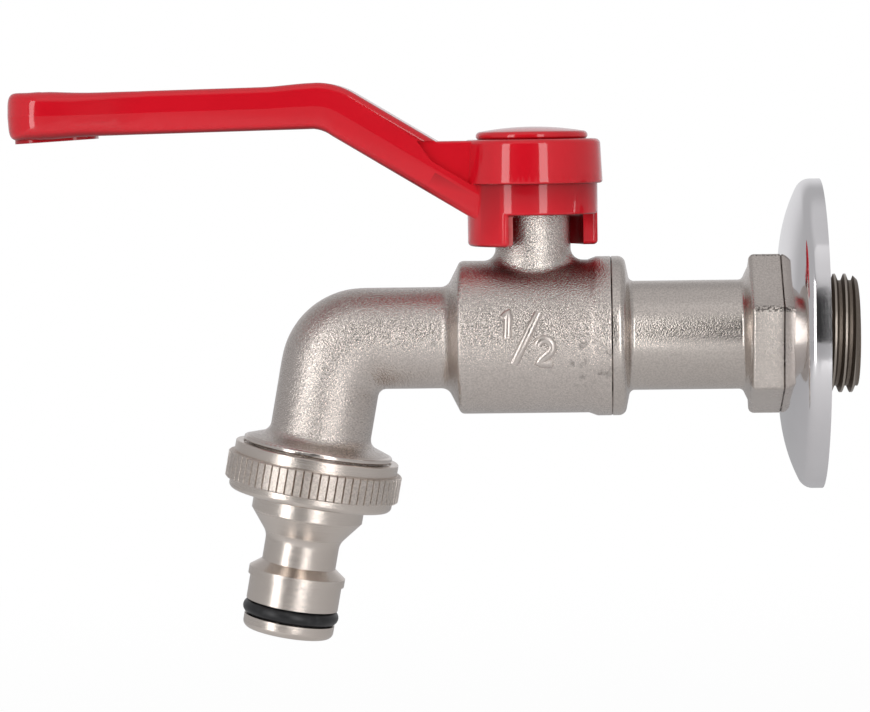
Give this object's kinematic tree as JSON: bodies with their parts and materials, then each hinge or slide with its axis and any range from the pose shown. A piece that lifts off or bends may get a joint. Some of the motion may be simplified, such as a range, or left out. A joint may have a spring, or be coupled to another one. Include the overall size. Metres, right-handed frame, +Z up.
{
  "type": "garden ball valve",
  "caption": "Wall-mounted garden tap with a quarter-turn ball valve, red lever, elbow spout, knurled hose adapter with quick-connect nipple, and a domed wall rosette.",
  "frame": {"origin": "on the inlet thread's axis, in the plane of the wall at the rosette's back rim", "axes": "+X along the inlet into the wall, +Z up along the stem, spout and lever out along -X"},
  "size_m": [0.1494, 0.0546, 0.0991],
  "materials": {
    "satin_nickel": "satin nickel plate on blasted brass",
    "turned_nickel": "satin nickel plate on turned brass",
    "polished_nickel": "mirror polish",
    "red_enamel": "glossy red enamel",
    "red_cap": "glossy red moulding",
    "bright_ball": "polished chrome plate",
    "bare_brass": "turned brass",
    "white_seal": "waxy white",
    "black_rubber": "matt black with a faint sheen",
    "zinc_steel": "bright zinc plate"
  },
  "bodies": {
    "tap": {"valve_body": "satin_nickel", "inlet_tailpiece": "satin_nickel", "wall_rosette": "polished_nickel", "outlet_seat": "white_seal", "inlet_seat": "white_seal", "stem_thrust_washer": "white_seal", "hose_adapter": "turned_nickel", "adapter_gasket": "black_rubber", "adapter_oring": "black_rubber"},
    "handle": {"lever": "red_enamel", "lever_cap": "red_cap", "lever_screw": "zinc_steel", "lever_washer": "zinc_steel", "stem": "bare_brass", "ball": "bright_ball", "stem_lower_oring": "black_rubber", "stem_upper_oring": "black_rubber"}
  },
  "joints": [
    {"name": "lever_turn", "type": "hinge", "parent": "tap", "child": "handle", "pos_m": [-0.0505, 0, 0], "axis": [0, 0, 1], "range_deg": [-90, 0]}
  ]
}
